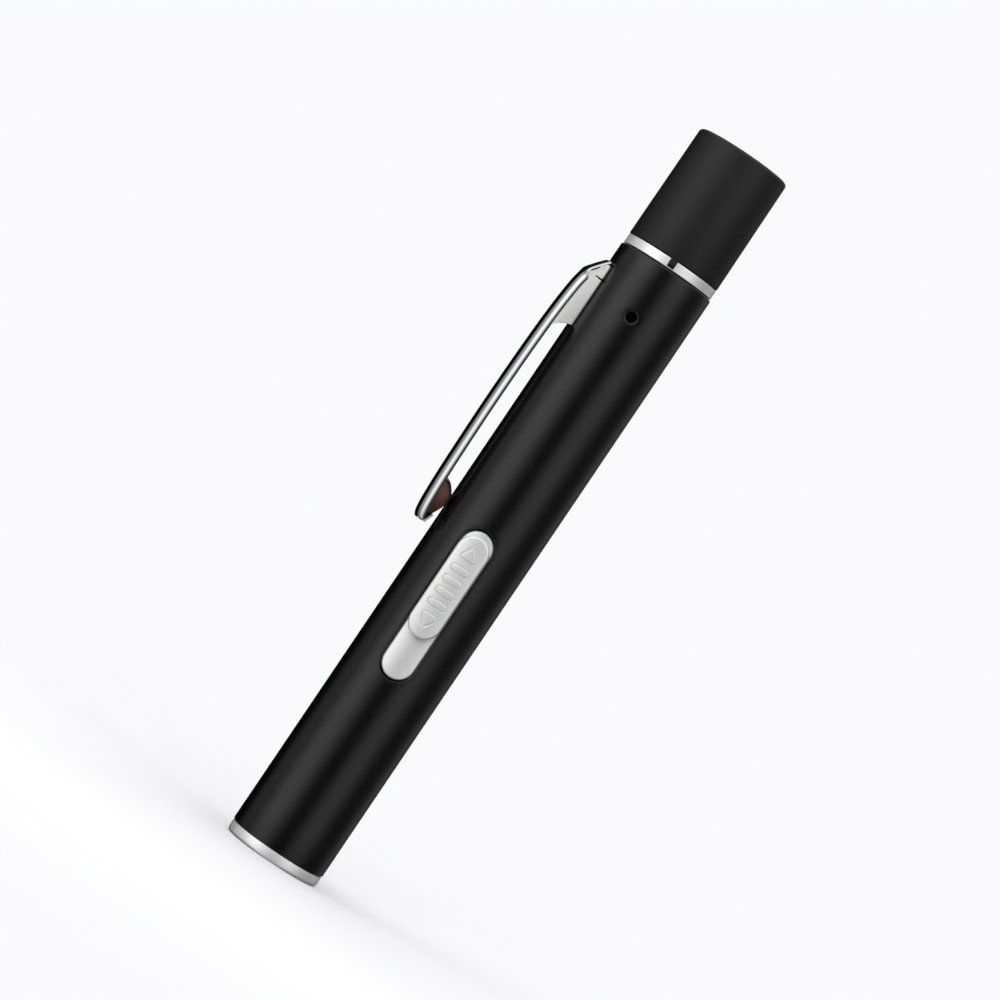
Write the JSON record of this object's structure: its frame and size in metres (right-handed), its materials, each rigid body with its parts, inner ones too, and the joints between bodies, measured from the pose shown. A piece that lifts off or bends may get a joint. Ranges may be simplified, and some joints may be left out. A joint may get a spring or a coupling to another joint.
{
  "type": "laser pen flashlight",
  "caption": "Slim metal pen light with a laser and a lamp in its end face, a slide switch, a sprung pocket clip and a pull-off cap over its charging plug.",
  "frame": {"origin": "centre of the flat light-end face, on the barrel's axis", "axes": "+Z along the barrel from the light end to the cap, -Y out through the slide switch, with the pen standing on its light end"},
  "size_m": [0.0186, 0.0159, 0.119],
  "materials": {
    "black_anodised": "black satin anodised",
    "satin_silver": "satin turned",
    "silver_paint": "silver painted plastic",
    "chrome": "bright chrome",
    "cap_black": "matte black moulded",
    "black_plastic": "matte black moulded",
    "white_plastic": "white moulded",
    "clear_lens": "clear polished",
    "brass": "turned brass",
    "nickel": "nickel plated",
    "gold_plate": "gold plated",
    "board_green": "green solder mask",
    "cell_sleeve": "blue shrink sleeve over a metal can",
    "foam_tape": "double-sided foam tape",
    "red_wire": "soft insulation"
  },
  "bodies": {
    "barrel": {"barrel": "black_anodised", "head_cap": "satin_silver", "emitter_holder": "black_plastic", "laser_housing": "brass", "laser_lens": "clear_lens", "laser_diode": "gold_plate", "led_lamp": "clear_lens", "led_lead_anode": "nickel", "led_lead_cathode": "nickel", "laser_lead_red": "red_wire", "laser_lead_black": "black_plastic", "circuit_board": "board_green", "driver_chip": "black_plastic", "charge_chip": "black_plastic", "charge_led": "white_plastic", "switch_case": "nickel", "switch_bed": "silver_paint", "battery_cell": "cell_sleeve", "battery_tape": "foam_tape", "battery_positive_tab": "nickel", "battery_negative_tab": "nickel", "plug_carrier_upper": "black_plastic", "plug_carrier_lower": "black_plastic", "collar_ring": "satin_silver", "usb_shell": "nickel", "usb_tongue": "white_plastic", "usb_contact_1": "gold_plate", "usb_contact_2": "gold_plate", "usb_contact_3": "gold_plate", "usb_contact_4": "gold_plate", "clip_base": "chrome"},
    "slider": {"slider_knob": "silver_paint", "switch_lever": "black_plastic"},
    "cap": {"cap": "cap_black"},
    "clip_arm": {"clip_arm": "chrome"}
  },
  "joints": [
    {"name": "slider_slide", "type": "slide", "parent": "barrel", "child": "slider", "axis": [0, 0, 1], "range_m": [-0.0066, 0.0007]},
    {"name": "cap_pull", "type": "slide", "parent": "barrel", "child": "cap", "axis": [0, 0, 1], "range_m": [0, 0.02]},
    {"name": "clip_flex", "type": "hinge", "parent": "barrel", "child": "clip_arm", "pos_m": [-0.00928, -0.00248, 0.0932], "axis": [-0.2588, 0.9659, 0], "range_deg": [0, 4], "stiffness_Nm_per_rad": 0.05}
  ]
}
